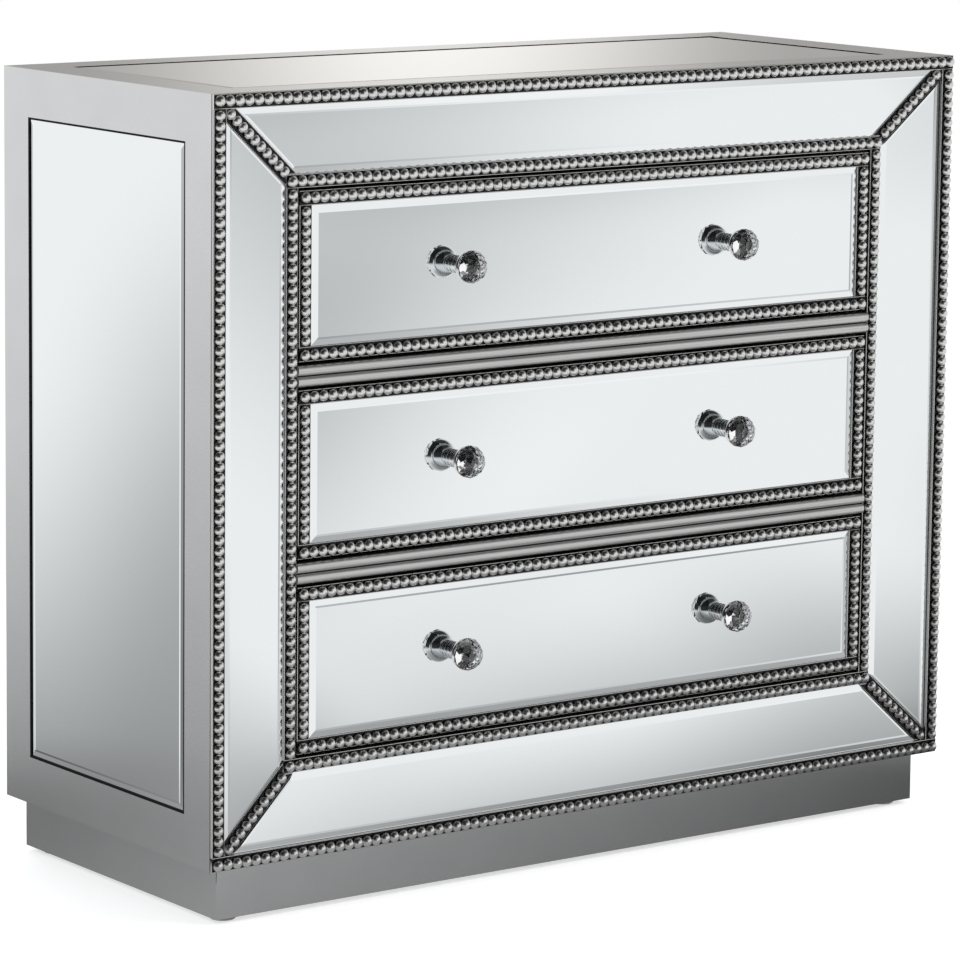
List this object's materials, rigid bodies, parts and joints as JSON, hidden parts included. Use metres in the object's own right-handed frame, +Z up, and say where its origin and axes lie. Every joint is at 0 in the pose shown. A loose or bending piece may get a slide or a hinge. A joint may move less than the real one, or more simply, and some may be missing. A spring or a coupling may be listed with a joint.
{
  "type": "mirrored chest of drawers",
  "caption": "Free-standing mirrored chest with a dished, bead-edged picture-frame front, sliding drawers on ball-bearing slides, crystal knobs and a recessed plinth.",
  "frame": {"origin": "on the floor under the middle of the whole chest, knobs included", "axes": "+X to the right as one faces the drawers, +Y to the back, +Z up"},
  "size_m": [0.965, 0.424, 0.838],
  "materials": {
    "silver_paint": "satin silver paint on fibreboard",
    "mirror_glass": "silvered float glass with bevelled edges",
    "antique_silver_beads": "antiqued silver leaf on moulded wood",
    "brushed_silver_reeds": "brushed silver paint on moulded wood",
    "knob_chrome": "polished",
    "knob_crystal": "clear, facet cut",
    "slide_steel": "zinc plated",
    "screw_steel": "zinc plated",
    "glide_plastic": "moulded",
    "hardboard": "smooth hardboard",
    "drawer_wood": "sealed plywood"
  },
  "bodies": {
    "case": {"back_panel": "hardboard", "border_mirror_bottom": "mirror_glass", "border_mirror_left": "mirror_glass", "border_mirror_right": "mirror_glass", "border_mirror_top": "mirror_glass", "bottom_panel": "silver_paint", "case_screws": "screw_steel", "divider_rails": "silver_paint", "frame_rail_bottom": "silver_paint", "frame_rail_top": "silver_paint", "frame_stile_left": "silver_paint", "frame_stile_right": "silver_paint", "glide_feet": "glide_plastic", "inner_bead_mouldings": "antique_silver_beads", "mitre_bead_mouldings": "antique_silver_beads", "outer_bead_mouldings": "antique_silver_beads", "plinth_back": "silver_paint", "plinth_corner_blocks": "drawer_wood", "plinth_front": "silver_paint", "plinth_sides": "silver_paint", "reed_mouldings": "brushed_silver_reeds", "runner_panels": "drawer_wood", "side_mirror_left": "mirror_glass", "side_mirror_right": "mirror_glass", "side_panel_left": "silver_paint", "side_panel_right": "silver_paint", "slide_channels": "slide_steel", "top_mirror": "mirror_glass", "top_panel": "silver_paint"},
    "upper_drawer": {"upper_drawer_back": "drawer_wood", "upper_drawer_bead_mouldings": "antique_silver_beads", "upper_drawer_floor": "hardboard", "upper_drawer_front": "silver_paint", "upper_drawer_knob_crystals": "knob_crystal", "upper_drawer_knob_posts": "knob_chrome", "upper_drawer_mirror": "mirror_glass", "upper_drawer_sides": "drawer_wood", "upper_drawer_slide_bars": "slide_steel"},
    "upper_ball_cages": {"upper_ball_cages": "slide_steel"},
    "middle_drawer": {"middle_drawer_back": "drawer_wood", "middle_drawer_bead_mouldings": "antique_silver_beads", "middle_drawer_floor": "hardboard", "middle_drawer_front": "silver_paint", "middle_drawer_knob_crystals": "knob_crystal", "middle_drawer_knob_posts": "knob_chrome", "middle_drawer_mirror": "mirror_glass", "middle_drawer_sides": "drawer_wood", "middle_drawer_slide_bars": "slide_steel"},
    "middle_ball_cages": {"middle_ball_cages": "slide_steel"},
    "lower_drawer": {"lower_drawer_back": "drawer_wood", "lower_drawer_bead_mouldings": "antique_silver_beads", "lower_drawer_floor": "hardboard", "lower_drawer_front": "silver_paint", "lower_drawer_knob_crystals": "knob_crystal", "lower_drawer_knob_posts": "knob_chrome", "lower_drawer_mirror": "mirror_glass", "lower_drawer_sides": "drawer_wood", "lower_drawer_slide_bars": "slide_steel"},
    "lower_ball_cages": {"lower_ball_cages": "slide_steel"}
  },
  "joints": [
    {"name": "upper_drawer_slide", "type": "slide", "parent": "case", "child": "upper_drawer", "axis": [0, -1, 0], "range_m": [0, 0.225]},
    {"name": "middle_drawer_slide", "type": "slide", "parent": "case", "child": "middle_drawer", "axis": [0, -1, 0], "range_m": [0, 0.225]},
    {"name": "lower_drawer_slide", "type": "slide", "parent": "case", "child": "lower_drawer", "axis": [0, -1, 0], "range_m": [0, 0.225]},
    {"name": "upper_cage_slide", "type": "slide", "parent": "case", "child": "upper_ball_cages", "axis": [0, -1, 0], "range_m": [0, 0.1125]},
    {"name": "middle_cage_slide", "type": "slide", "parent": "case", "child": "middle_ball_cages", "axis": [0, -1, 0], "range_m": [0, 0.1125]},
    {"name": "lower_cage_slide", "type": "slide", "parent": "case", "child": "lower_ball_cages", "axis": [0, -1, 0], "range_m": [0, 0.1125]}
  ],
  "couplings": [
    {"joint": "upper_cage_slide", "follows": "upper_drawer_slide", "ratio": 0.5},
    {"joint": "middle_cage_slide", "follows": "middle_drawer_slide", "ratio": 0.5},
    {"joint": "lower_cage_slide", "follows": "lower_drawer_slide", "ratio": 0.5}
  ]
}
